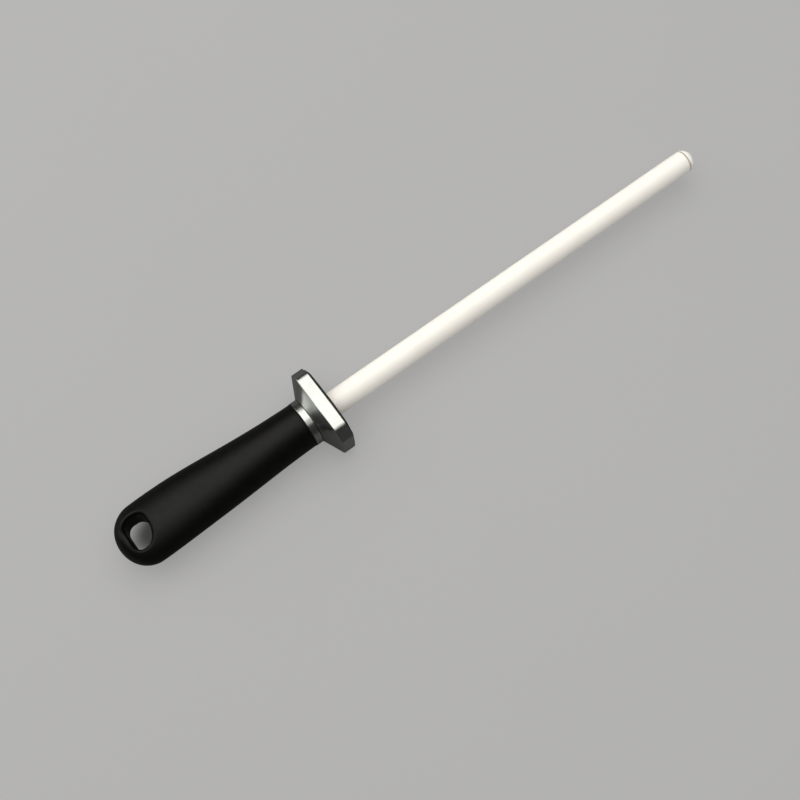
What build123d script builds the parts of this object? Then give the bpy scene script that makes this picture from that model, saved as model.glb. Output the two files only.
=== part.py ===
from build123d import *
from math import cos, exp, pi, radians, sqrt
import os

os.makedirs("parts", exist_ok=True)

# A ceramic knife sharpening steel, lying on its guard with the hanging eye facing up. +X runs from
# the handle to the tip, +Y across the width of the guard, and +Z up. The origin is on the surface
# under the guard, at the middle of the length. Sizes are in millimetres, and a distance is measured
# along the rod's axis from the butt of the handle.

# Lengths along the axis
overall_length = 380.0
grip_length = 113.7
seal_thickness = 0.6
collar_length = 3.8
flare_length = 5.7
rim_thickness = 7.0
pad_proud = 1.2
tip_cap_length = 4.6
tip_washer_thickness = 0.5

# Handle grip: a flattened oval near the butt that turns round at the collar
neck_radius = 12.9
belly_half_width = 17.55
butt_half_width = 17.2
butt_half_thickness = 11.0
belly_distance = 22.0
neck_distance = 118.0
plan_end_rounding = 15.5
side_end_rounding = 6.0
belly_lean = 0.75
belly_lean_distance = 40.0
belly_lean_spread = 28.0

# Hanging eye through the butt
eye_distance = 13.8
eye_offset = 0.5
eye_length = 17.9
eye_width = 12.2
eye_corner_radius = 5.5
eye_small_corner_radius = 3.5
eye_sweep_width = 7.2
eye_sweep_length = 10.4
eye_edge_radius = 1.6

# Hard core inside the grip, and the spigot at its front that carries the collar and the guard
skin_thickness = 3.0
core_start = 27.0
spigot_radius = 9.6
spigot_reach = 8.9

# Seal, collar, guard casting and front pad
seal_radius = 13.1
collar_radius = 13.15
collar_edge = 0.3
guard_half_length = 23.7
guard_end_half_width = 7.95
guard_side_half_length = 17.7
guard_side_half_width = 15.1
guard_side_crown = 1.0
guard_corner_radius = 2.5
pad_margin = 1.2
pad_recess = 1.4
pad_boss_radius = 8.6
pad_edge_radius = 0.4

# Ceramic rod, hollow and tapered, held on a steel tie rod
rod_root_radius = 6.85
rod_tip_radius = 6.4
rod_bore_radius = 3.2
rod_socket_depth = 50.0
rod_edge_radius = 1.2
tie_rod_radius = 2.0
tie_rod_chamfer = 0.4
centring_ring_length = 2.4
centring_ring_count = 4

# Socket in the handle core
socket_radius = 7.35
cushion_thickness = 2.5
tang_insert_radius = 4.5
tang_insert_length = 17.5
tang_insert_floor = 2.0

# Tip cap, its threaded insert and the dark ring behind it
tip_plug_length = 9.0
tip_insert_radius = 2.7
tip_insert_length = 7.0
tip_washer_inset = 0.25

# Distances that follow from the sizes above
collar_start = grip_length + seal_thickness
flare_start = collar_start + collar_length
rim_start = flare_start + flare_length
rim_end = rim_start + rim_thickness
pad_start = rim_end - pad_recess
pad_end = rim_end + pad_proud
spigot_end = flare_start + spigot_reach
cap_start = overall_length - tip_cap_length
rod_end = cap_start - tip_washer_thickness
rod_start = rim_end - rod_socket_depth
cushion_start = rod_start - cushion_thickness
tang_insert_start = cushion_start - tang_insert_length
tie_rod_start = tang_insert_start + tang_insert_floor
tip_insert_start = rod_end - tip_plug_length
tie_rod_end = tip_insert_start + tip_insert_length

# The rod's axis, and the upright plane through it with x as the distance from the butt
axis_height = guard_side_half_width + guard_side_crown
butt = Vector(-overall_length / 2, 0, axis_height)
rod_axis = Axis(butt, (1, 0, 0))
side_plane = Plane(butt, x_dir=(1, 0, 0), z_dir=(0, -1, 0))


def station(distance, sideways=0.0):
    """The plane across the axis at a distance from the butt: its x is +Y and its y is +Z."""
    centre = butt + Vector(distance, sideways, 0)
    return Plane(centre, x_dir=(0, 1, 0), z_dir=(1, 0, 0))


def ease(fraction):
    """A smooth fall from 1 to 0 as the fraction goes from 0 to 1."""
    return (1 + cos(pi * min(max(fraction, 0), 1))) / 2


def end_rounding(distance, radius):
    """The share of the full width that a rounded end has reached at a distance."""
    short = max(1 - distance / radius, 0)
    return sqrt(1 - short**2)


def grip_half_width(distance):
    """Half the grip's width in Y."""
    if distance > belly_distance:
        fraction = (distance - belly_distance) / (neck_distance - belly_distance)
        return neck_radius + (belly_half_width - neck_radius) * ease(fraction)
    narrowing = (belly_half_width - butt_half_width) * ease(distance / belly_distance)
    return (belly_half_width - narrowing) * end_rounding(distance, plan_end_rounding)


def grip_half_thickness(distance):
    """Half the grip's thickness in Z."""
    thinning = ease((distance - eye_distance) / (grip_length - eye_distance))
    full = neck_radius - (neck_radius - butt_half_thickness) * thinning
    return full * end_rounding(distance, side_end_rounding)


def grip_lean(distance):
    """How far the grip's middle leans to +Y, which gives that side the fuller belly."""
    return belly_lean * exp(-(((distance - belly_lean_distance) / belly_lean_spread) ** 2))


def grip_section(distance, inset=0.0):
    """The grip's oval at a distance from the butt, made smaller all round by the inset."""
    with BuildSketch(station(distance, grip_lean(distance))) as section:
        Ellipse(grip_half_width(distance) - inset, grip_half_thickness(distance) - inset)
    return section.sketch


def eye_outline():
    """The eye in plan: a rounded oblong whose corner towards the tip and -Y is cut to a long sweep."""
    x_end = eye_width / 2
    y_end = eye_length / 2
    x_corner = x_end - eye_corner_radius
    y_corner = y_end - eye_corner_radius
    x_small = x_end - eye_small_corner_radius
    y_small = y_end - eye_small_corner_radius
    x_sweep = x_end - eye_sweep_width
    y_sweep = eye_sweep_length - y_end
    with BuildSketch(Plane(butt + Vector(eye_distance, eye_offset, 0))) as outline:
        with BuildLine():
            EllipticalCenterArc(
                (x_sweep, y_sweep), eye_sweep_width, eye_sweep_length, start_angle=-90, arc_size=90
            )
            Line((x_end, y_sweep), (x_end, y_corner))
            CenterArc((x_corner, y_corner), eye_corner_radius, 0, 90)
            Line((x_corner, y_end), (-x_corner, y_end))
            CenterArc((-x_corner, y_corner), eye_corner_radius, 90, 90)
            Line((-x_end, y_corner), (-x_end, -y_small))
            CenterArc((-x_small, -y_small), eye_small_corner_radius, 180, 90)
            Line((-x_small, -y_end), (x_sweep, -y_end))
        make_face()
    return outline.sketch


def guard_outline(margin=0.0):
    """The guard's outline: flat ends, cut corners and slightly crowned long sides."""
    x_side = guard_side_half_length
    y_side = guard_side_half_width
    x_end = guard_half_length
    y_end = guard_end_half_width
    y_crown = guard_side_half_width + guard_side_crown
    with BuildSketch() as outline:
        with BuildLine():
            ThreePointArc((-x_side, y_side), (0, y_crown), (x_side, y_side))
            Polyline((x_side, y_side), (x_end, y_end), (x_end, -y_end), (x_side, -y_side))
            ThreePointArc((x_side, -y_side), (0, -y_crown), (-x_side, -y_side))
            Polyline((-x_side, -y_side), (-x_end, -y_end), (-x_end, y_end), (-x_side, y_side))
        make_face()
        fillet(outline.vertices(), radius=guard_corner_radius)
        if margin > 0:
            offset(amount=-margin, mode=Mode.REPLACE)
    return outline.sketch


def ring(start, end, inner_radius, outer_radius):
    """A plain ring round the rod's axis."""
    with BuildPart() as tube:
        with BuildSketch(station(start)):
            Circle(outer_radius)
            Circle(inner_radius, mode=Mode.SUBTRACT)
        extrude(amount=end - start)
    return tube.part


def save(piece, name):
    """Label a finished piece and write it to its own file."""
    piece.label = name
    export_step(piece, f"parts/{name}.step")


# Sections of the grip: closely spaced round the butt, then along the body
butt_stations = [plan_end_rounding * (1 - cos(radians(angle))) for angle in (10, 25, 40, 55, 70)]
core_stations = [34, 46, 60, 76, 92, 104, grip_length]
grip_stations = butt_stations + [plan_end_rounding, 24] + core_stations
grip_sections = [grip_section(distance) for distance in grip_stations]
core_sections = [grip_section(distance, skin_thickness) for distance in [core_start] + core_stations]

# Handle grip: the black skin moulded over the core, with the hanging eye through its butt
with BuildPart() as handle_grip:
    loft(sections=[Vertex(*butt), *grip_sections])
    extrude(eye_outline(), amount=2 * neck_radius, both=True, mode=Mode.SUBTRACT)
    fillet(handle_grip.edges(Select.LAST).filter_by(GeomType.BSPLINE), radius=eye_edge_radius)
    loft(sections=core_sections, mode=Mode.SUBTRACT)
save(handle_grip.part, "handle_grip")

# Handle core: the hard plastic that fills the grip, bored for the rod, with the spigot in front
with BuildPart() as handle_core:
    loft(sections=core_sections)
    with BuildSketch(station(grip_length)):
        Circle(spigot_radius)
    extrude(amount=spigot_end - grip_length)
    with BuildSketch(station(cushion_start)):
        Circle(socket_radius)
    extrude(amount=spigot_end - cushion_start, mode=Mode.SUBTRACT)
    with BuildSketch(station(tang_insert_start)):
        Circle(tang_insert_radius)
    extrude(amount=tang_insert_length, mode=Mode.SUBTRACT)
save(handle_core.part, "handle_core")

# Tang insert: brass, closed at its rear, that the tie rod screws into
with BuildPart() as tang_insert:
    with BuildSketch(station(tang_insert_start)):
        Circle(tang_insert_radius)
    extrude(amount=tang_insert_length)
    with BuildSketch(station(tie_rod_start)):
        Circle(tie_rod_radius)
    extrude(amount=tang_insert_length - tang_insert_floor, mode=Mode.SUBTRACT)
save(tang_insert.part, "tang_insert")

# Tie rod: the steel rod through the ceramic, screwed in at the tang and at the tip
with BuildPart() as tie_rod:
    with BuildSketch(station(tie_rod_start)):
        Circle(tie_rod_radius)
    extrude(amount=tie_rod_end - tie_rod_start)
    chamfer(tie_rod.edges().filter_by(GeomType.CIRCLE), length=tie_rod_chamfer)
save(tie_rod.part, "tie_rod")

# Ceramic rod: a parallel root in the socket, then a long straight taper to the tip
with BuildPart() as ceramic_rod:
    with BuildSketch(side_plane):
        with BuildLine():
            Polyline(
                (rod_start, rod_bore_radius),
                (rod_end, rod_bore_radius),
                (rod_end, rod_tip_radius),
                (rim_end, rod_root_radius),
                (rod_start, rod_root_radius),
                close=True,
            )
        make_face()
    revolve(axis=rod_axis)
    tip_edges = ceramic_rod.edges().filter_by(GeomType.CIRCLE).group_by(Axis.X)[-1]
    fillet(tip_edges.sort_by(SortBy.RADIUS)[-1], radius=rod_edge_radius)
save(ceramic_rod.part, "ceramic_rod")

# Centring rings: soft rings that keep the tie rod in the middle of the ceramic's bore
ring_pitch = (tip_insert_start - rim_end) / centring_ring_count
with BuildPart() as centring_rings:
    for index in range(centring_ring_count):
        with BuildSketch(station(rim_end + ring_pitch * (index + 0.5))):
            Circle(rod_bore_radius)
            Circle(tie_rod_radius, mode=Mode.SUBTRACT)
        extrude(amount=centring_ring_length)
save(centring_rings.part, "centring_rings")

# Socket cushion under the rod's root, the sleeve that bonds the root in, and the handle's front seal
save(ring(cushion_start, rod_start, tie_rod_radius, socket_radius), "socket_cushion")
save(ring(rod_start, spigot_end, rod_root_radius, socket_radius), "socket_sleeve")
save(ring(grip_length, collar_start, spigot_radius, seal_radius), "collar_seal")

# Collar: the ring between the handle and the guard, with both outer edges broken
with BuildPart() as collar:
    with BuildSketch(station(collar_start)):
        Circle(collar_radius)
        Circle(spigot_radius, mode=Mode.SUBTRACT)
    extrude(amount=collar_length)
    collar_rims = collar.edges().filter_by(GeomType.CIRCLE).group_by(SortBy.RADIUS)[-1]
    chamfer(collar_rims, length=collar_edge)
save(collar.part, "collar")

# Guard: one casting that flares from the collar's circle to the oblong rim
with BuildPart() as guard:
    with BuildSketch(station(flare_start)):
        Circle(collar_radius - collar_edge)
    with BuildSketch(station(rim_start)):
        add(guard_outline())
    loft(ruled=True)
    with BuildSketch(station(rim_start)):
        add(guard_outline())
    extrude(amount=rim_thickness)
    with BuildSketch(station(pad_start)):
        add(guard_outline(pad_margin))
    extrude(amount=pad_recess, mode=Mode.SUBTRACT)
    with BuildSketch(station(flare_start)):
        Circle(spigot_radius)
    extrude(amount=spigot_reach, mode=Mode.SUBTRACT)
    with BuildSketch(station(spigot_end)):
        Circle(pad_boss_radius)
    extrude(amount=pad_start - spigot_end, mode=Mode.SUBTRACT)
save(guard.part, "guard")

# Guard pad: the black plate in the guard's front face, with a boss round the rod behind it
with BuildPart() as guard_pad:
    with BuildSketch(station(pad_start)):
        add(guard_outline(pad_margin))
    extrude(amount=pad_end - pad_start)
    fillet(guard_pad.faces().sort_by(Axis.X)[-1].edges(), radius=pad_edge_radius)
    with BuildSketch(station(spigot_end)):
        Circle(pad_boss_radius)
    extrude(amount=pad_start - spigot_end)
    with BuildSketch(station(spigot_end)):
        Circle(rod_root_radius)
    extrude(amount=pad_end - spigot_end, mode=Mode.SUBTRACT)
save(guard_pad.part, "guard_pad")

# Tip washer: the dark ring between the ceramic and the cap
washer_radius = rod_tip_radius - tip_washer_inset
save(ring(rod_end, cap_start, rod_bore_radius, washer_radius), "tip_washer")

# Tip cap: a pale dome with a plug that fits the ceramic's bore and holds the tip insert
dome_radius = (rod_tip_radius**2 + tip_cap_length**2) / (2 * tip_cap_length)
dome_centre = overall_length - dome_radius
dome_middle = dome_radius / sqrt(2)
with BuildPart() as tip_cap:
    with BuildSketch(side_plane):
        with BuildLine():
            Polyline(
                (overall_length, 0),
                (tip_insert_start, 0),
                (tip_insert_start, rod_bore_radius),
                (cap_start, rod_bore_radius),
                (cap_start, rod_tip_radius),
            )
            ThreePointArc(
                (cap_start, rod_tip_radius),
                (dome_centre + dome_middle, dome_middle),
                (overall_length, 0),
            )
        make_face()
    revolve(axis=rod_axis)
    with BuildSketch(station(tip_insert_start)):
        Circle(tip_insert_radius)
    extrude(amount=tip_insert_length, mode=Mode.SUBTRACT)
save(tip_cap.part, "tip_cap")

# Tip insert: the brass nut in the cap's plug
save(ring(tip_insert_start, tie_rod_end, tie_rod_radius, tip_insert_radius), "tip_insert")
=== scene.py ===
from math import atan2, cos, exp, hypot, pi, radians, sin, sqrt, tau

import bpy
from mathutils import Matrix, Vector


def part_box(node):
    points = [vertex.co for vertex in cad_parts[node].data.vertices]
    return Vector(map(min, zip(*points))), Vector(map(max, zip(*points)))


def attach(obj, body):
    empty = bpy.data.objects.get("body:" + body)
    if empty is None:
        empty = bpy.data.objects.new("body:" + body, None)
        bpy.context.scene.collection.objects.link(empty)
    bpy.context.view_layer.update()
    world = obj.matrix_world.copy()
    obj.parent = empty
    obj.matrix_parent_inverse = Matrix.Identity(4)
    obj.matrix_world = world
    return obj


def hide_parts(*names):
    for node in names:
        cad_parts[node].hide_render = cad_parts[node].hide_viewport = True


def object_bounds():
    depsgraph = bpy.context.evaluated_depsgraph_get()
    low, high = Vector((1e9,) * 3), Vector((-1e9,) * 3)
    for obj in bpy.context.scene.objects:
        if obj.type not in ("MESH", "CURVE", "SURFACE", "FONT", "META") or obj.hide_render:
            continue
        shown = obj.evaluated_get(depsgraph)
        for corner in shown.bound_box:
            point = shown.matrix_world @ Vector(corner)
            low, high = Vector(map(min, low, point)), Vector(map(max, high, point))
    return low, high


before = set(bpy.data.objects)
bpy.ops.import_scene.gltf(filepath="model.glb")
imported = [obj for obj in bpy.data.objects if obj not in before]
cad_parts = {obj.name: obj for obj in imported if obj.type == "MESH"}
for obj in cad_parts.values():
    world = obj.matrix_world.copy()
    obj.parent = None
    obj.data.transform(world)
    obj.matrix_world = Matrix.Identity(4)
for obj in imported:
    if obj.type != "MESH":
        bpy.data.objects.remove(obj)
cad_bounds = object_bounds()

# A ceramic knife sharpening steel. Each piece is drawn in millimetres, by its distance along the
# rod's axis from the butt of the handle and its place (y, z) off that axis. place() turns that
# into a point of the frame, in metres.

MM = 0.001


# ---------------------------------------------------------------- places taken from the frame

rod_low, rod_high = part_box("ceramic_rod")
overall_length = 380.0
tip_x = cad_bounds[1][0]
butt_x = tip_x - overall_length * MM
floor_z = cad_bounds[0][2]
axis_y = (rod_low.y + rod_high.y) / 2
axis_z = (rod_low.z + rod_high.z) / 2


def place(distance, y, z):
    """The frame's point for a distance from the butt and a place off the axis, in mm."""
    return Vector((butt_x + distance * MM, axis_y + y * MM, axis_z + z * MM))


def ends(node):
    """The distances from the butt, in mm, at which a CAD node starts and ends."""
    low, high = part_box(node)
    return (low.x - butt_x) / MM, (high.x - butt_x) / MM


def half_size(node, axis):
    """Half a CAD node's size along a frame axis, in mm."""
    low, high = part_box(node)
    return (high[axis] - low[axis]) / 2 / MM


grip_end = ends("handle_grip")[1]
seal_start, seal_end = ends("collar_seal")
collar_start, collar_end = ends("collar")
guard_start, rim_end = ends("guard")
pad_back, pad_end = ends("guard_pad")
rod_start, rod_end = ends("ceramic_rod")
washer_start, washer_end = ends("tip_washer")
plug_start = ends("tip_cap")[0]
core_start = ends("handle_core")[0]

seal_radius = half_size("collar_seal", 1)
collar_radius = half_size("collar", 1)
rod_root_radius = half_size("ceramic_rod", 1)
rod_tip_radius = half_size("tip_cap", 1)
washer_radius = half_size("tip_washer", 1)


# ---------------------------------------------------------------- sizes of the visible shapes, mm

neck_radius = 12.9
belly_half_width = 17.55
butt_half_width = 17.2
butt_half_thickness = 11.0
belly_distance = 22.0
neck_distance = 118.0
plan_end_rounding = 15.5
side_end_rounding = 6.0
belly_lean = 0.75
belly_lean_distance = 40.0
belly_lean_spread = 28.0
skin_thickness = 3.0

eye_distance = 13.8
eye_offset = 0.5
eye_half_length = 8.95
eye_half_width = 6.1
eye_corner_radius = 5.0
eye_small_corner_radius = 3.5
eye_sweep_width = 7.2
eye_sweep_length = 10.4
eye_rim_width = 2.1
eye_rim_depth = 2.2

spigot_radius = 9.6
rim_thickness = 7.0
guard_half_length = half_size("guard", 1)
guard_end_half_width = 7.95
guard_side_half_length = 17.7
guard_side_half_width = 15.1
guard_side_crown = 1.0
guard_end_corner_radius = 2.5
guard_side_corner_radius = 4.5
pad_margin = 1.2
pad_recess = 1.4
pad_boss_radius = 8.6
rod_bore_radius = 3.2
rod_edge_radius = 1.2
tip_insert_radius = 2.7
tip_insert_length = 7.0

rim_start = rim_end - rim_thickness


# ---------------------------------------------------------------- camera

camera_over = 40.1
camera_far = 700.0
camera_lean = radians(18.47)
camera_aim = (163.33, -19.41)
camera_roll = radians(-5.15)
camera_lens = 59.89


def make_camera():
    """A camera above the handle, leaning to -Y, with the rod running up to the right."""
    data = bpy.data.cameras.new("camera")
    data.lens = camera_lens
    data.sensor_width = 36.0
    data.clip_start = 0.01
    data.clip_end = 20.0
    camera = bpy.data.objects.new("camera", data)
    bpy.context.scene.collection.objects.link(camera)
    stand = place(camera_over, -camera_far * sin(camera_lean), camera_far * cos(camera_lean))
    aim = place(camera_aim[0], camera_aim[1], 0)
    turn = (aim - stand).to_track_quat("-Z", "Y").to_matrix().to_4x4()
    camera.matrix_world = Matrix.Translation(stand) @ turn @ Matrix.Rotation(camera_roll, 4, "Z")
    bpy.context.scene.camera = camera


# ---------------------------------------------------------------- mesh building

def new_piece(name, points, faces, node, material, sharp_angle):
    """A smooth-shaded mesh that stands for a CAD node and rides on the one body."""
    mesh = bpy.data.meshes.new(name)
    mesh.from_pydata([place(*point) for point in points], [], faces)
    mesh.update()
    mesh.shade_smooth()
    mesh.set_sharp_from_angle(angle=sharp_angle)
    mesh.materials.append(material)
    piece = bpy.data.objects.new(name, mesh)
    bpy.context.scene.collection.objects.link(piece)
    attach(piece, "root")
    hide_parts(node)
    return piece


def skin_loops(loops, closed=False):
    """Points and quads through loops of equally many points, in order along +X on the outside.
    A loop of one point closes an end. With closed, the last loop joins the first."""
    points = []
    starts = []
    for loop in loops:
        starts.append(len(points))
        points.extend(loop)
    faces = []
    pairs = list(zip(range(len(loops) - 1), range(1, len(loops))))
    if closed:
        pairs.append((len(loops) - 1, 0))
    for a, b in pairs:
        count = max(len(loops[a]), len(loops[b]))
        for i in range(count):
            j = (i + 1) % count
            a_i, a_j = starts[a] + i % len(loops[a]), starts[a] + j % len(loops[a])
            b_i, b_j = starts[b] + i % len(loops[b]), starts[b] + j % len(loops[b])
            corners = [a_i, a_j, b_j, b_i]
            faces.append(tuple(dict.fromkeys(corners)))
    return points, faces


def circle_loop(distance, radius, count):
    """A circle round the axis, or a single point where the radius is nothing."""
    if radius == 0:
        return [(distance, 0.0, 0.0)]
    steps = [tau * i / count for i in range(count)]
    return [(distance, radius * cos(a), radius * sin(a)) for a in steps]


def rounded(corners, steps=5):
    """A profile through (distance, radius, rounding) corners, with each rounded corner as an arc-like
    curve between the points where the rounding starts and ends."""
    out = []
    for i, (d, r, rounding) in enumerate(corners):
        if rounding == 0:
            out.append((d, r))
            continue
        before = corners[i - 1]
        after = corners[(i + 1) % len(corners)]
        sides = []
        for other in (before, after):
            length = hypot(other[0] - d, other[1] - r)
            share = rounding / length
            sides.append((d + (other[0] - d) * share, r + (other[1] - r) * share))
        (d0, r0), (d1, r1) = sides
        for k in range(steps + 1):
            t = k / steps
            u = 1 - t
            out.append((u * u * d0 + 2 * u * t * d + t * t * d1, u * u * r0 + 2 * u * t * r + t * t * r1))
    return out


def turned(profile, count, closed=True):
    """Points and faces of a profile of (distance, radius) turned round the axis."""
    return skin_loops([circle_loop(d, r, count) for d, r in profile], closed)


# ---------------------------------------------------------------- handle grip

def ease(fraction):
    """A smooth fall from 1 to 0 as the fraction goes from 0 to 1."""
    return (1 + cos(pi * min(max(fraction, 0), 1))) / 2


def end_rounding(distance, radius):
    """The share of its full size that a section has near the butt, which is rounded by a radius."""
    short = max(1 - distance / radius, 0)
    return sqrt(max(1 - short**2, 0))


def body_half_width(distance):
    """Half the grip's width in plan, before the butt's rounding: widest at the belly."""
    if distance > belly_distance:
        fraction = (distance - belly_distance) / (neck_distance - belly_distance)
        return neck_radius + (belly_half_width - neck_radius) * ease(fraction)
    narrowing = (belly_half_width - butt_half_width) * ease(distance / belly_distance)
    return belly_half_width - narrowing


def grip_half_width(distance):
    return body_half_width(distance) * end_rounding(distance, plan_end_rounding)


def grip_half_thickness(distance):
    thinning = ease((distance - eye_distance) / (grip_end - eye_distance))
    full = neck_radius - (neck_radius - butt_half_thickness) * thinning
    return full * end_rounding(distance, side_end_rounding)


def grip_lean(distance):
    """How far the belly's middle lies off the axis, towards +Y."""
    return belly_lean * exp(-(((distance - belly_lean_distance) / belly_lean_spread) ** 2))


def grip_height(distance, y):
    """The height of the grip's upper surface above the axis at a place in plan."""
    half = grip_half_width(distance)
    if half <= 0:
        return 0.0
    share = (y - grip_lean(distance)) / half
    return grip_half_thickness(distance) * sqrt(max(1 - share * share, 0))


def eye_reach(angle, margin=0.0):
    """How far the eye's outline is from its centre in a direction, in plan: a rounded oblong whose
    corner towards the tip and -Y is cut to a long sweep."""
    a = eye_half_width + margin
    b = eye_half_length + margin
    small = cos(angle) < 0 and sin(angle) < 0
    r = (eye_small_corner_radius if small else eye_corner_radius) + margin
    corner_x, corner_y = a - r, b - r
    across, along = abs(cos(angle)), abs(sin(angle))
    if a * along <= corner_y * across:
        reach = a / across
    elif b * across <= corner_x * along:
        reach = b / along
    else:
        middle = corner_x * across + corner_y * along
        reach = middle + sqrt(middle**2 - corner_x**2 - corner_y**2 + r**2)
    # The sweep is a quarter of an ellipse, from the bottom of the eye to the side towards the tip.
    width, length = eye_sweep_width + margin, eye_sweep_length + margin
    x, y = a - width, length - b
    square = (cos(angle) / width) ** 2 + (sin(angle) / length) ** 2
    slope = x * cos(angle) / width**2 + y * sin(angle) / length**2
    rest = (x / width) ** 2 + (y / length) ** 2 - 1
    sweep = (slope + sqrt(slope**2 - square * rest)) / square
    if sweep * cos(angle) > x and sweep * sin(angle) < y:
        reach = min(reach, sweep)
    return reach


def make_grip(material):
    """The grip as one skin of quads: round the eye to the butt's edge, then along the body to the
    front, and back along the inside over the core."""
    seam = 31.0
    half_count = 44
    edge_count = 72
    rings = 18
    rim_steps = 8
    wall_steps = 6
    body_steps = 36
    core_steps = 14
    slope_step = 0.05
    rim_hold = 0.58
    cap_share = 0.62
    front_edge = 0.35

    # The boundary of the butt's upper face in plan: across the seam, then round the butt's edge.
    across = [pi * k / half_count for k in range(half_count + 1)]
    seam_y = [grip_lean(seam) + grip_half_width(seam) * cos(a) for a in across]
    boundary = [(seam, y) for y in seam_y]
    for k in range(1, edge_count):
        t = 2 * k / edge_count - 1
        side = -1 if t < 0 else 1
        run = 1 - abs(t)
        if run > 1 - cap_share:
            angle = (1 - run) / cap_share * pi / 2
            d = plan_end_rounding * (1 - cos(angle))
        else:
            d = seam + (plan_end_rounding - seam) * run / (1 - cap_share)
        boundary.append((d, grip_lean(d) + side * grip_half_width(d)))
    count = len(boundary)

    def top_loops():
        """Loops from the edge of the upper face inwards, over the eye's rim and down its wall."""
        loops = [[] for _ in range(rings + rim_steps + wall_steps)]
        for d_out, y_out in boundary:
            angle = atan2(y_out - eye_offset, d_out - eye_distance)
            reach_out = hypot(d_out - eye_distance, y_out - eye_offset)
            reach_rim = eye_reach(angle, eye_rim_width)
            reach_wall = eye_reach(angle)

            def spot(reach):
                return eye_distance + reach * cos(angle), eye_offset + reach * sin(angle)

            for ring in range(rings):
                share = sin((1 - ring / rings) * pi / 2)
                d, y = spot(reach_rim + (reach_out - reach_rim) * share)
                on_seam = ring == 0 and d_out == seam
                z = grip_height(d, y) if ring or on_seam else 0.0
                if ring == 0:
                    d, y = d_out, y_out
                loops[ring].append((d, y, z))
            z_rim = grip_height(*spot(reach_rim))
            slope = (grip_height(*spot(reach_rim + slope_step)) - z_rim) / slope_step
            z_wall = z_rim - eye_rim_depth - slope * eye_rim_width / 2
            # The rim is a curve that leaves along the surface and arrives along the wall.
            reaches = (reach_rim, reach_rim - rim_hold * eye_rim_width, reach_wall, reach_wall)
            heights = (
                z_rim,
                z_rim - slope * rim_hold * eye_rim_width,
                z_wall + rim_hold * (z_rim - z_wall),
                z_wall,
            )
            for step in range(rim_steps):
                t = step / rim_steps
                weights = ((1 - t) ** 3, 3 * t * (1 - t) ** 2, 3 * t * t * (1 - t), t**3)
                d, y = spot(sum(w * r for w, r in zip(weights, reaches)))
                z = sum(w * h for w, h in zip(weights, heights))
                loops[rings + step].append((d, y, z))
            for step in range(wall_steps):
                d, y = spot(reach_wall)
                z = z_wall * (1 - step / wall_steps)
                loops[rings + rim_steps + step].append((d, y, z))
        return loops

    top = top_loops()
    middle_wall = [(d, y, 0.0) for d, y, _ in top[-1]]
    bottom = [[(d, y, -z) for d, y, z in loop] for loop in top]

    points = []
    faces = []

    def add_loop(loop):
        start = len(points)
        points.extend(loop)
        return [start + i for i in range(len(loop))]

    upper = [add_loop(loop) for loop in top]
    middle_ring = add_loop(middle_wall)
    lower_first = list(upper[0])
    for i in range(half_count + 1):
        if 0 < i < half_count:
            d, y, z = bottom[0][i]
            lower_first[i] = len(points)
            points.append((d, y, z))
    lower = [lower_first] + [add_loop(loop) for loop in bottom[1:]]

    def bridge(a, b, flip=False):
        for i in range(count):
            j = (i + 1) % count
            quad = (a[i], a[j], b[j], b[i])
            faces.append(tuple(reversed(quad)) if flip else quad)

    for a, b in zip(upper, upper[1:] + [middle_ring]):
        bridge(a, b)
    for a, b in zip(lower, lower[1:] + [middle_ring]):
        bridge(a, b, flip=True)

    # The body from the seam to the front, as closed rings round the axis.
    seam_ring = [upper[0][i] for i in range(half_count + 1)]
    seam_ring += [lower_first[i] for i in range(half_count - 1, 0, -1)]
    around = [tau * i / len(seam_ring) for i in range(len(seam_ring))]

    def body_ring(distance, inset=0.0):
        a = grip_half_width(distance) - inset
        b = grip_half_thickness(distance) - inset
        lean = grip_lean(distance)
        return [(distance, lean + a * cos(t), b * sin(t)) for t in around]

    body_length = grip_end - front_edge - seam
    stations = [seam + body_length * k / body_steps for k in range(1, body_steps + 1)]
    rings_out = [body_ring(d) for d in stations]
    for k in range(1, 4):
        t = pi / 2 * k / 3
        rings_out.append(body_ring(grip_end - front_edge * (1 - sin(t)), front_edge * (1 - cos(t))))
    inner = [grip_end + (core_start - grip_end) * k / core_steps for k in range(core_steps + 1)]
    rings_out += [body_ring(d, skin_thickness) for d in inner]
    previous = seam_ring
    for loop in rings_out:
        current = add_loop(loop)
        for i in range(len(current)):
            j = (i + 1) % len(current)
            faces.append((previous[i], previous[j], current[j], current[i]))
        previous = current
    faces.append(tuple(previous))
    return new_piece("grip", points, faces, "handle_grip", material, radians(50))


# ---------------------------------------------------------------- guard and pad

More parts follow.
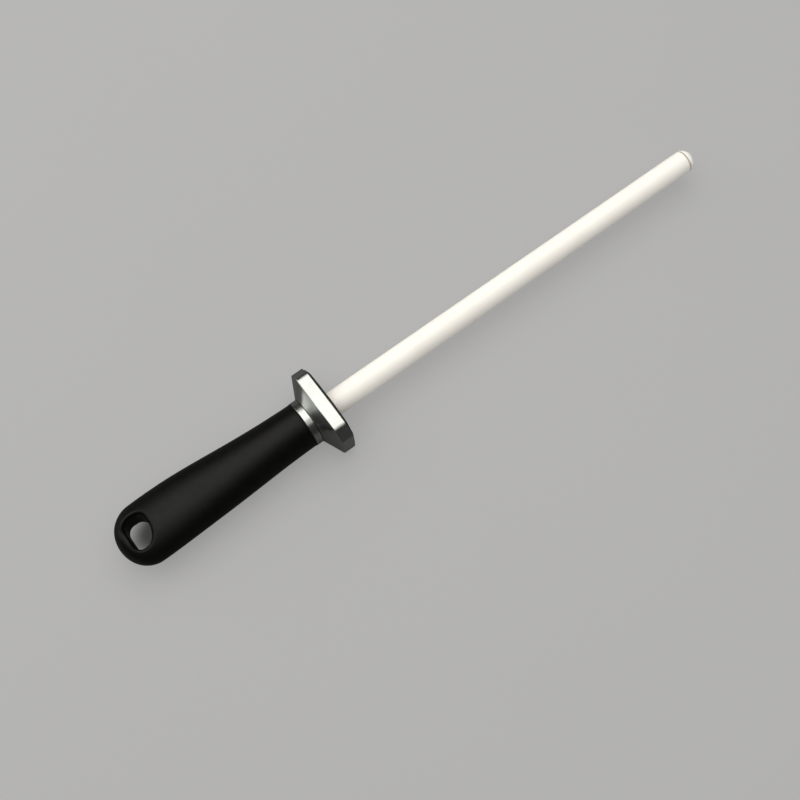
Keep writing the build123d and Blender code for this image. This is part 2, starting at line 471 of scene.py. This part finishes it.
def guard_outline():
    """The guard's outline as points with outward directions, anticlockwise from +Y, in (y, z)."""
    x_side, y_side = guard_side_half_length, guard_side_half_width
    x_end, y_end = guard_half_length, guard_end_half_width
    sag = guard_side_crown
    crown_radius = (x_side**2 + sag**2) / (2 * sag)
    crown_centre = y_side + sag - crown_radius
    tilt = atan2(x_side, y_side - crown_centre)
    end_normal = 0.0
    cut_normal = atan2(x_end - x_side, y_side - y_end)
    side_normal = pi / 2 - tilt

    def corner(px, py, n0, n1, r):
        """The rounded corner at a vertex between faces with outward directions n0 and n1."""
        half = (n1 - n0) / 2
        reach = r / cos(half)
        cx = px - reach * cos((n0 + n1) / 2)
        cy = py - reach * sin((n0 + n1) / 2)
        steps = 7
        angles = [n0 + (n1 - n0) * k / steps for k in range(steps + 1)]
        return [(cx + r * cos(a), cy + r * sin(a), a) for a in angles]

    first = corner(x_end, y_end, end_normal, cut_normal, guard_end_corner_radius)
    second = corner(x_side, y_side, cut_normal, side_normal, guard_side_corner_radius)
    quarter = []
    for k in range(4):
        t = k / 4
        quarter.append((x_end, first[0][1] * t, 0.0))
    quarter += first
    for k in range(1, 4):
        t = k / 4
        a, b = first[-1], second[0]
        quarter.append((a[0] + (b[0] - a[0]) * t, a[1] + (b[1] - a[1]) * t, cut_normal))
    quarter += second
    crown_steps = 10
    for k in range(1, crown_steps + 1):
        a = side_normal + tilt * k / crown_steps
        quarter.append((crown_radius * cos(a), crown_centre + crown_radius * sin(a), a))
    full = list(quarter)
    full += [(-y, z, pi - a) for y, z, a in reversed(quarter[:-1])]
    full += [(-y, -z, pi + a) for y, z, a in quarter[1:]]
    full += [(y, -z, -a) for y, z, a in reversed(quarter[1:-1])]
    return full


OUTLINE = guard_outline()


def outline_loop(distance, margin=0.0):
    """The guard's outline at a distance, drawn in all round by a margin."""
    return [(distance, y - margin * cos(a), z - margin * sin(a)) for y, z, a in OUTLINE]


def matching_circle(distance, radius):
    """A circle with one point for each point of the guard's outline, in the same directions."""
    out = []
    for y, z, _ in OUTLINE:
        a = atan2(z, y)
        out.append((distance, radius * cos(a), radius * sin(a)))
    return out


def mix_loops(a, b, t):
    """The loop that lies a share t of the way from loop a to loop b."""
    return [tuple(p + (q - p) * t for p, q in zip(pa, pb)) for pa, pb in zip(a, b)]


def make_guard(material):
    """The casting: rear bore, flare, rim, front land and the recess that holds the pad."""
    collar_step = 0.3
    rear_land = 1.0
    rear_edge = 0.25
    rim_edge = 0.35
    front_edge = 0.5
    recess_edge = 0.1
    flare_radius = collar_radius - collar_step
    circle = matching_circle(guard_start, flare_radius)
    rear = outline_loop(rim_start)
    loops = [matching_circle(guard_start, spigot_radius)]
    loops.append(matching_circle(guard_start, flare_radius - rear_land))
    loops.append(matching_circle(guard_start, flare_radius - rear_edge))
    for t in (0.05, 0.1, 0.3, 0.5, 0.7, 0.9):
        loops.append(mix_loops(circle, rear, t))
    before = mix_loops(circle, rear, 1 - rim_edge / (rim_start - guard_start))
    after = outline_loop(rim_start + rim_edge)
    for k in range(5):
        t = k / 4
        loops.append(mix_loops(mix_loops(before, rear, t), mix_loops(rear, after, t), t))
    loops.append(outline_loop(rim_start + 2 * rim_edge))
    loops.append(outline_loop(rim_end - 2 * front_edge))
    for k in range(5):
        a = pi / 2 * k / 4
        loops.append(outline_loop(rim_end - front_edge * (1 - sin(a)), front_edge * (1 - cos(a))))
    loops.append(outline_loop(rim_end, pad_margin - recess_edge))
    loops.append(outline_loop(rim_end - recess_edge, pad_margin))
    loops.append(outline_loop(rim_end - pad_recess, pad_margin))
    loops.append(matching_circle(rim_end - pad_recess, pad_boss_radius))
    loops.append(matching_circle(pad_back, pad_boss_radius))
    loops.append(matching_circle(pad_back, spigot_radius))
    points, faces = skin_loops(loops, closed=True)
    return new_piece("guard_casting", points, faces, "guard", material, radians(40))


def make_pad(material):
    """The black plate in the guard's face, crowned in front, with a boss behind it."""
    edge = 0.4
    ring_edge = 0.25
    clearance = 0.05
    crown_share = 0.45
    crown_power = 2.2
    edge_relief = 0.1
    pad_base = rim_end - pad_recess
    crown = crown_share * (pad_end - rim_end)

    def crowned(distance, margin, fall=1.0):
        """The pad's outline, falling back towards its two ends."""
        out = []
        for d, y, z in outline_loop(distance, margin):
            drop = crown * (abs(y) / guard_half_length) ** crown_power * fall
            out.append((d - drop, y, z))
        return out

    rod_hole = matching_circle(pad_end, rod_root_radius + clearance)
    outer = crowned(pad_end, pad_margin + clearance + edge)
    loops = [matching_circle(pad_back, rod_root_radius + clearance)]
    loops.append(matching_circle(pad_back, pad_boss_radius - clearance))
    loops.append(matching_circle(pad_base, pad_boss_radius - clearance))
    loops.append(outline_loop(pad_base, pad_margin + clearance))
    for k in range(6):
        a = pi / 2 * k / 5
        margin = pad_margin + clearance + edge * (1 - cos(a))
        loops.append(crowned(pad_end - edge * (1 - sin(a)), margin, 1 - (1 - sin(a)) * edge_relief))
    for t in (0.15, 0.35, 0.55, 0.75, 0.9):
        loops.append(mix_loops(outer, rod_hole, t))
    for k in range(4):
        a = pi / 2 * k / 3
        radius = rod_root_radius + clearance + ring_edge * (1 - sin(a))
        loops.append(matching_circle(pad_end - ring_edge * (1 - cos(a)), radius))
    points, faces = skin_loops(loops, closed=True)
    return new_piece("face_pad", points, faces, "guard_pad", material, radians(40))


# ---------------------------------------------------------------- turned pieces

def make_ring(name, node, slot, span, material, count, sharp_degrees, inner_radius, outer_radius, edge):
    """A flat ring over a span of distances, of count sides, with its two outer edges rounded."""
    start, end = span
    profile = rounded(
        [
            (start, inner_radius, 0),
            (start, outer_radius, edge),
            (end, outer_radius, edge),
            (end, inner_radius, 0),
        ]
    )
    points, faces = turned(profile, count)
    return new_piece(name, points, faces, node, material, radians(sharp_degrees))


def make_seal(material):
    span = (seal_start, seal_end)
    sizes = {"inner_radius": spigot_radius, "outer_radius": seal_radius, "edge": 0.25}
    return make_ring("front_seal", "collar_seal", "seal_black", span, material, 160, 40, **sizes)


def make_collar(material):
    span = (collar_start, collar_end)
    sizes = {"inner_radius": spigot_radius, "outer_radius": collar_radius, "edge": 0.3}
    return make_ring("collar_ring", "collar", "collar_steel", span, material, 160, 40, **sizes)


def make_washer(material):
    span = (washer_start, washer_end)
    sizes = {"inner_radius": rod_bore_radius, "outer_radius": washer_radius, "edge": 0.15}
    return make_ring("tip_seal_ring", "tip_washer", "tip_seal", span, material, 128, 50, **sizes)


def make_rod(material):
    """The hollow rod: straight inside the guard, then tapered to the tip."""
    root_edge = 0.4
    taper_steps = 24
    corners = [
        (rod_start, rod_bore_radius, 0),
        (rod_start, rod_root_radius, root_edge),
        (rim_end, rod_root_radius, 0),
    ]
    for k in range(1, taper_steps):
        t = k / taper_steps
        d = rim_end + (rod_end - rim_end) * t
        corners.append((d, rod_root_radius + (rod_tip_radius - rod_root_radius) * t, 0))
    corners.append((rod_end, rod_tip_radius, rod_edge_radius))
    corners.append((rod_end, rod_bore_radius, 0))
    points, faces = turned(rounded(corners), 128)
    return new_piece("hone_rod", points, faces, "ceramic_rod", material, radians(50))


def make_cap(material):
    """The dome, with the plug that goes into the rod's bore and the pocket for its insert."""
    rear_edge = ((0.0, 0.25), (0.1, 0.09), (0.25, 0.12))
    dome_share = 0.93
    steps = 18
    insert_end = plug_start + tip_insert_length
    profile = [
        (insert_end, 0.0),
        (insert_end, tip_insert_radius),
        (plug_start, tip_insert_radius),
        (plug_start, rod_bore_radius),
        (washer_end, rod_bore_radius),
    ]
    for ahead, inset in rear_edge:
        profile.append((washer_end + ahead, rod_tip_radius - inset))
    dome = overall_length - washer_end
    dome_radius = (rod_tip_radius**2 + dome**2) / (2 * dome)
    rim_angle = atan2(rod_tip_radius, dome_radius - dome)
    for k in range(steps + 1):
        a = rim_angle * dome_share * (1 - k / steps)
        profile.append((overall_length - dome_radius * (1 - cos(a)), dome_radius * sin(a)))
    profile[-1] = (overall_length, 0.0)
    points, faces = turned(profile, 128, closed=False)
    return new_piece("tip_dome", points, faces, "tip_cap", material, radians(50))


# ---------------------------------------------------------------- materials

class Paint:
    """A Principled material with short calls for the nodes that drive it."""

    def __init__(self, name, color, roughness, metallic=0.0):
        self.material = bpy.data.materials.new(name)
        self.material.use_nodes = True
        self.tree = self.material.node_tree
        self.shader = self.tree.nodes["Principled BSDF"]
        self.shader.inputs["Base Color"].default_value = (*color, 1)
        self.shader.inputs["Roughness"].default_value = roughness
        self.shader.inputs["Metallic"].default_value = metallic
        self.coords = self.tree.nodes.new("ShaderNodeTexCoord").outputs["Object"]

    def node(self, kind, **values):
        node = self.tree.nodes.new(kind)
        for key, value in values.items():
            setattr(node, key, value)
        return node

    def link(self, output, target):
        self.tree.links.new(output, target)

    def noise(self, scale, detail=3.0, stretch=(1, 1, 1)):
        """Noise over the piece, in features of about 1/scale metres, drawn out by stretch."""
        mapping = self.node("ShaderNodeMapping")
        mapping.inputs["Scale"].default_value = stretch
        self.link(self.coords, mapping.inputs["Vector"])
        noise = self.node("ShaderNodeTexNoise")
        noise.inputs["Scale"].default_value = scale
        noise.inputs["Detail"].default_value = detail
        self.link(mapping.outputs["Vector"], noise.inputs["Vector"])
        return noise.outputs["Fac"]

    def ramp(self, source, low, high):
        """The source's middle half, 0.25 to 0.75, spread over low to high."""
        node = self.node("ShaderNodeMapRange")
        limits = {"From Min": 0.25, "From Max": 0.75, "To Min": low, "To Max": high}
        for socket, value in limits.items():
            node.inputs[socket].default_value = value
        self.link(source, node.inputs["Value"])
        return node.outputs["Result"]

    def mixed(self, factor, first, second):
        """A colour that goes from first to second with the factor. Each is a colour or an output."""
        mix = self.node("ShaderNodeMix", data_type="RGBA")
        sockets = [socket for socket in mix.inputs if socket.type == "RGBA"]
        for color, socket in zip((first, second), sockets):
            if isinstance(color, tuple):
                socket.default_value = (*color, 1)
            else:
                self.link(color, socket)
        self.link(factor, mix.inputs["Factor"])
        return [socket for socket in mix.outputs if socket.type == "RGBA"][0]

    def color_between(self, source, low, high):
        color = self.mixed(self.ramp(source, 0, 1), low, high)
        self.link(color, self.shader.inputs["Base Color"])

    def roughness_between(self, source, low, high):
        self.link(self.ramp(source, low, high), self.shader.inputs["Roughness"])

    def bump(self, source, height):
        """Bumps of a height in metres."""
        node = self.node("ShaderNodeBump")
        node.inputs["Distance"].default_value = height
        node.inputs["Strength"].default_value = 1.0
        self.link(source, node.inputs["Height"])
        if self.shader.inputs["Normal"].is_linked:
            previous = self.shader.inputs["Normal"].links[0].from_socket
            self.link(previous, node.inputs["Normal"])
        self.link(node.outputs["Normal"], self.shader.inputs["Normal"])

    def set(self, **values):
        for key, value in values.items():
            self.shader.inputs[key.replace("_", " ")].default_value = value


def black_plastic():
    paint = Paint("black moulded plastic", (0.0022, 0.0022, 0.002), 0.5)
    paint.color_between(paint.noise(140), (0.0017, 0.0017, 0.0015), (0.0027, 0.0027, 0.0024))
    paint.roughness_between(paint.noise(420, 4), 0.34, 0.44)
    paint.set(Specular_IOR_Level=0.14)
    paint.bump(paint.noise(5200, 2), 0.00002)
    paint.bump(paint.noise(180, 2), 0.00003)
    return paint.material


def seal_rubber():
    paint = Paint("black seal rubber", (0.008, 0.008, 0.008), 0.5)
    paint.color_between(paint.noise(500), (0.003, 0.003, 0.003), (0.006, 0.006, 0.006))
    paint.roughness_between(paint.noise(900), 0.42, 0.58)
    paint.set(Specular_IOR_Level=0.2)
    paint.bump(paint.noise(4000), 0.00001)
    return paint.material


def pad_rubber():
    paint = Paint("black pad", (0.008, 0.008, 0.008), 0.45)
    paint.color_between(paint.noise(300), (0.003, 0.003, 0.003), (0.007, 0.007, 0.007))
    paint.roughness_between(paint.noise(700), 0.38, 0.55)
    paint.set(Specular_IOR_Level=0.2)
    paint.bump(paint.noise(4500), 0.000012)
    return paint.material


def brushed_metal(name, low, high, rough_low, rough_high):
    """Satin metal with fine lines round the axis, and a soft cloudiness over them."""
    paint = Paint(name, high, rough_high, 1.0)
    lines = paint.noise(60, 6, (90, 1, 1))
    clouds = paint.noise(160, 3)
    paint.color_between(clouds, low, high)
    paint.roughness_between(lines, rough_low, rough_high)
    paint.bump(lines, 0.000006)
    paint.set(Anisotropic=0.5)
    tangent = paint.node("ShaderNodeTangent", direction_type="RADIAL", axis="X")
    paint.link(tangent.outputs["Tangent"], paint.shader.inputs["Tangent"])
    return paint.material


def ceramic():
    paint = Paint("ground white ceramic", (0.88, 0.82, 0.73), 0.55)
    paint.color_between(paint.noise(70, 4), (0.765, 0.735, 0.685), (0.795, 0.77, 0.722))
    paint.roughness_between(paint.noise(900, 3), 0.48, 0.62)
    paint.bump(paint.noise(6000, 3), 0.00001)
    return paint.material


def cap_plastic():
    paint = Paint("pale cap plastic", (0.78, 0.77, 0.73), 0.3)
    paint.color_between(paint.noise(600, 3), (0.81, 0.80, 0.77), (0.85, 0.84, 0.81))
    paint.roughness_between(paint.noise(1200), 0.24, 0.36)
    paint.bump(paint.noise(3500), 0.000008)
    return paint.material


def tip_rubber():
    paint = Paint("tip seal", (0.09, 0.075, 0.06), 0.5)
    paint.color_between(paint.noise(900), (0.40, 0.35, 0.29), (0.48, 0.43, 0.37))
    paint.roughness_between(paint.noise(1500), 0.4, 0.6)
    paint.bump(paint.noise(5000), 0.000008)
    return paint.material


def inner_material(name, low, high, roughness, metallic, scale, stretch=(1, 1, 1)):
    """A material for a CAD piece inside the handle or the rod."""
    paint = Paint(name, high, roughness, metallic)
    paint.color_between(paint.noise(scale, 3, stretch), low, high)
    paint.roughness_between(paint.noise(scale * 2, 3, stretch), roughness * 0.8, roughness * 1.2)
    paint.bump(paint.noise(scale * 6, 2, stretch), 0.00001)
    return paint.material


def finish_inner_nodes():
    core = inner_material("core plastic", (0.07, 0.07, 0.07), (0.11, 0.11, 0.11), 0.5, 0.0, 300)
    brass = inner_material("turned brass", (0.62, 0.42, 0.18), (0.78, 0.56, 0.28), 0.3, 1.0, 200, (20, 1, 1))
    steel = inner_material("drawn steel", (0.45, 0.46, 0.47), (0.6, 0.61, 0.62), 0.3, 1.0, 300, (0.05, 1, 1))
    silicone = inner_material("red silicone", (0.45, 0.06, 0.03), (0.6, 0.12, 0.07), 0.5, 0.0, 500)
    rubber = inner_material("cushion rubber", (0.02, 0.02, 0.02), (0.045, 0.045, 0.045), 0.6, 0.0, 500)
    epoxy = inner_material("cured adhesive", (0.48, 0.38, 0.18), (0.62, 0.52, 0.3), 0.35, 0.0, 400)
    finishes = {
        "handle_core": core,
        "tang_insert": brass,
        "tip_insert": brass,
        "tie_rod": steel,
        "centring_rings": silicone,
        "socket_cushion": rubber,
        "socket_sleeve": epoxy,
    }
    for node, material in finishes.items():
        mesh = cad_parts[node].data
        mesh.materials.clear()
        mesh.materials.append(material)


# ---------------------------------------------------------------- floor and light

def make_floor():
    """A pale light table: part of its tone is its own glow, which fades out under the butt of the grip
    as a painted shadow. Reflections see it darker, and it lights the pieces about twice as strongly as it
    shows."""
    size = 6.0
    glow_seen = 0.28
    glow_added_for_lighting = 0.29
    glow_change_in_reflections = -0.26
    reflected_tone = (0.08, 0.08, 0.08)
    painted_shadow_centre = place(23.5, 3.0, 0)
    painted_shadow_size = (23.0 * MM, 15.0 * MM)
    mesh = bpy.data.meshes.new("floor")
    corners = [(-size, -size), (size, -size), (size, size), (-size, size)]
    mesh.from_pydata([(x, y, floor_z) for x, y in corners], [], [(0, 1, 2, 3)])
    paint = Paint("pale floor", (0.13, 0.13, 0.13), 0.9)
    paint.color_between(paint.noise(3), (0.128, 0.128, 0.130), (0.132, 0.132, 0.134))
    paint.set(Specular_IOR_Level=0.1, Emission_Color=(1.0, 0.995, 0.985, 1))
    path = paint.node("ShaderNodeLightPath")
    lit = paint.shader.inputs["Base Color"].links[0].from_socket
    toned = paint.mixed(path.outputs["Is Glossy Ray"], lit, reflected_tone)
    paint.link(toned, paint.shader.inputs["Base Color"])

    def multiply_add(source, factor, addend):
        node = paint.node("ShaderNodeMath", operation="MULTIPLY_ADD")
        paint.link(source, node.inputs[0])
        for value, socket in ((factor, node.inputs[1]), (addend, node.inputs[2])):
            if isinstance(value, float):
                socket.default_value = value
            else:
                paint.link(value, socket)
        return node.outputs["Value"]

    # Painted shadow: the glow fades to nothing in a soft ellipse on the floor under the grip's butt, so the
    # floor seen through the eye is dark.
    mapping = paint.node("ShaderNodeMapping", vector_type="TEXTURE")
    mapping.inputs["Location"].default_value = (painted_shadow_centre.x, painted_shadow_centre.y, floor_z)
    mapping.inputs["Scale"].default_value = (*painted_shadow_size, 1)
    paint.link(paint.coords, mapping.inputs["Vector"])
    length = paint.node("ShaderNodeVectorMath", operation="LENGTH")
    paint.link(mapping.outputs["Vector"], length.inputs[0])
    fade = paint.node("ShaderNodeMapRange", interpolation_type="SMOOTHSTEP")
    fade.inputs["From Min"].default_value = 0.4
    fade.inputs["From Max"].default_value = 1.1
    paint.link(length.outputs["Value"], fade.inputs["Value"])
    glow = multiply_add(path.outputs["Is Diffuse Ray"], glow_added_for_lighting, glow_seen)
    glow = multiply_add(path.outputs["Is Glossy Ray"], glow_change_in_reflections, glow)
    glow = multiply_add(glow, fade.outputs["Result"], 0.0)
    paint.link(glow, paint.shader.inputs["Emission Strength"])
    mesh.materials.append(paint.material)
    floor = bpy.data.objects.new("floor", mesh)
    bpy.context.scene.collection.objects.link(floor)


def area_light(name, location, target, size, power, color):
    """A soft rectangular light at a location in metres, turned to a target."""
    data = bpy.data.lights.new(name, "AREA")
    data.shape = "RECTANGLE"
    data.size, data.size_y = size
    data.energy = power
    data.color = color
    light = bpy.data.objects.new(name, data)
    light.location = location
    direction = Vector(target) - Vector(location)
    light.rotation_euler = direction.to_track_quat("-Z", "Y").to_euler()
    bpy.context.scene.collection.objects.link(light)


def make_light():
    """An even grey studio that fills matt surfaces more than it shows, and three soft lights."""
    background_strength = 0.045
    fill_strength = 0.33
    world = bpy.data.worlds.new("studio")
    world.use_nodes = True
    nodes = world.node_tree.nodes
    background = nodes["Background"]
    background.inputs["Color"].default_value = (1.0, 1.0, 0.97, 1)
    path = nodes.new("ShaderNodeLightPath")
    filled = nodes.new("ShaderNodeMath")
    filled.operation = "MULTIPLY_ADD"
    filled.inputs[1].default_value = fill_strength
    filled.inputs[2].default_value = background_strength
    world.node_tree.links.new(path.outputs["Is Diffuse Ray"], filled.inputs[0])
    world.node_tree.links.new(filled.outputs["Value"], background.inputs["Strength"])
    bpy.context.scene.world = world
    area_light("overhead", (-0.2, 0.53, 1.3), (-0.2, 0.53, 0), (3.0, 2.75), 23, (1.0, 0.985, 0.95))
    area_light("middle", (0.0, 0.45, 1.28), (0.0, 0.45, 0), (1.8, 1.4), 12.5, (1.0, 0.985, 0.95))
    area_light("side", (-1.0, 1.1, 0.5), (0.0, 0.0, 0.05), (1.2, 0.9), 4.0, (1.0, 0.99, 0.95))
    bpy.context.scene.view_settings.view_transform = "Standard"


# ---------------------------------------------------------------- scene

make_camera()
metal_low, metal_high = (0.38, 0.395, 0.375), (0.45, 0.465, 0.445)
make_grip(black_plastic())
make_seal(seal_rubber())
make_collar(brushed_metal("satin collar metal", metal_low, metal_high, 0.15, 0.24))
make_guard(brushed_metal("satin guard metal", metal_low, metal_high, 0.17, 0.28))
make_pad(pad_rubber())
make_rod(ceramic())
make_washer(tip_rubber())
make_cap(cap_plastic())
finish_inner_nodes()
make_floor()
make_light()
